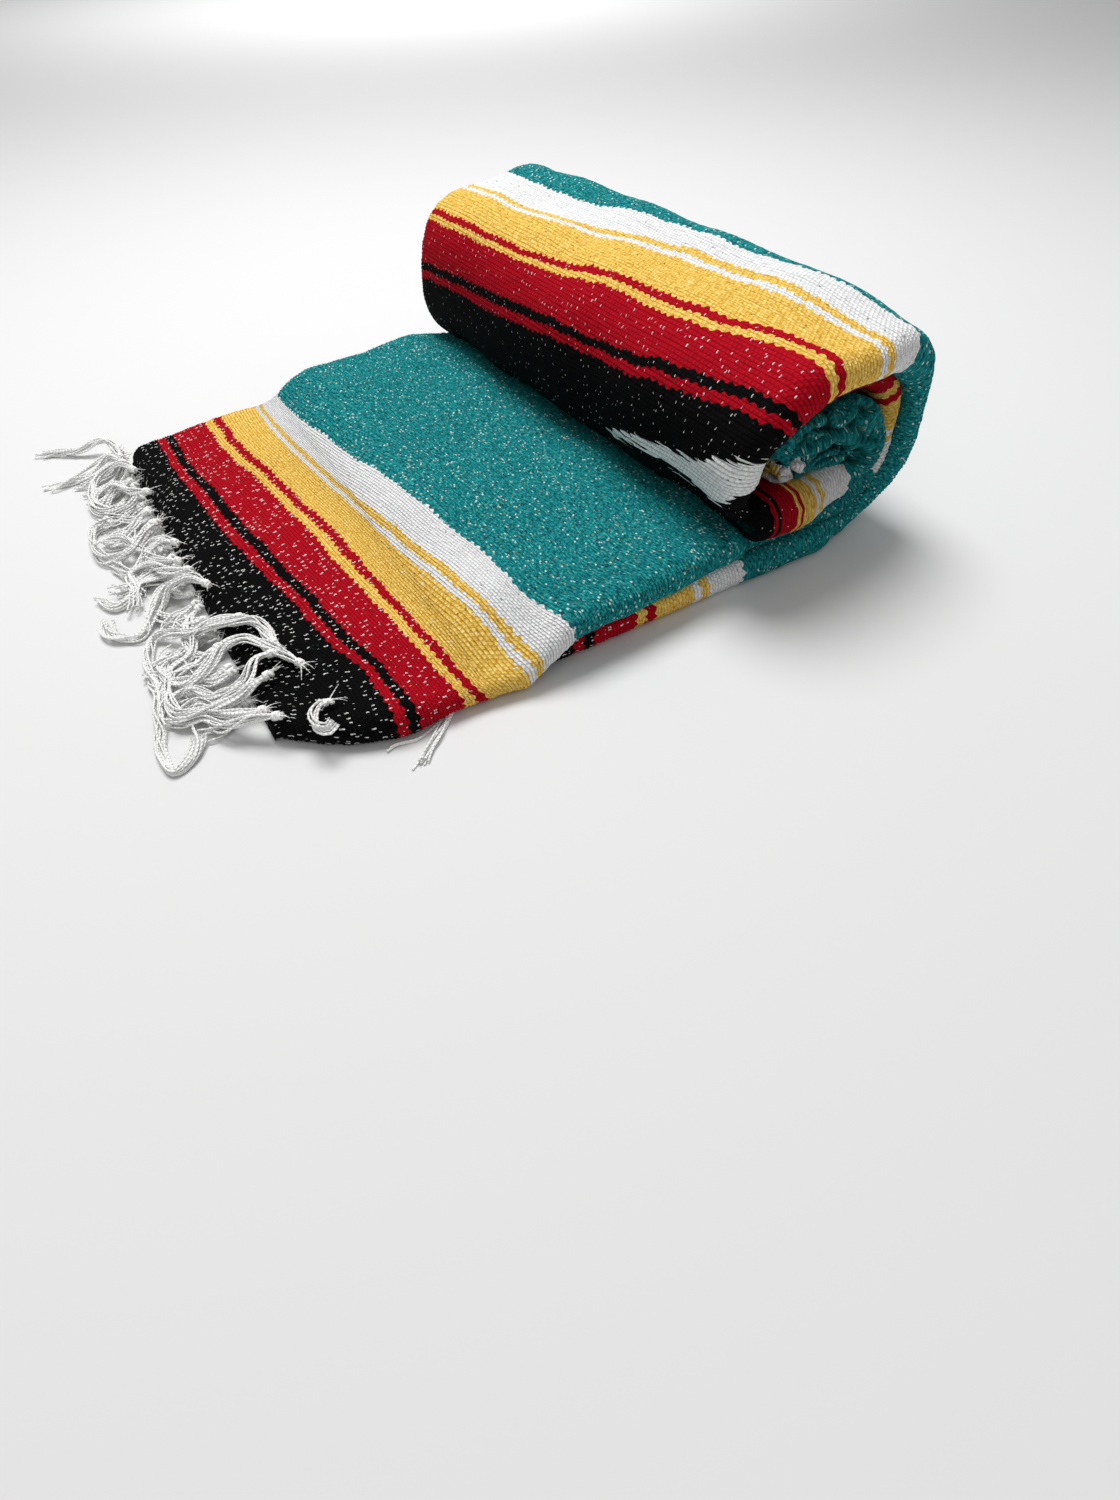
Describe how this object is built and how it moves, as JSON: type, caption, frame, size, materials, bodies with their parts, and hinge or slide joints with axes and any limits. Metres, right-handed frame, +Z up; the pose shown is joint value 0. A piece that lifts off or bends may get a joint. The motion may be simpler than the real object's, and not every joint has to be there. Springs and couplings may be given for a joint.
{
  "type": "mexican serape",
  "caption": "Striped woven blanket folded into a thick strip, doubled and rolled up, with one loose end lying flat and a fringe of twisted cotton threads.",
  "frame": {"origin": "bottom middle of the bounding box, on the surface that the blanket lies on", "axes": "+X along the strip from the fringe to the roll, +Y across the strip away from the near end of the roll, +Z up"},
  "size_m": [0.4564, 0.434, 0.1318],
  "materials": {
    "striped_cloth": "coarse weft-faced weave, matte",
    "cotton_fringe": "twisted cotton thread, matte"
  },
  "bodies": {
    "root": {"upper_flap": "striped_cloth", "lower_flap": "striped_cloth", "outer_turn": "striped_cloth", "inner_turn": "striped_cloth", "second_turn": "striped_cloth", "core": "striped_cloth", "upper_fringe": "cotton_fringe", "lower_fringe": "cotton_fringe"}
  },
  "joints": []
}
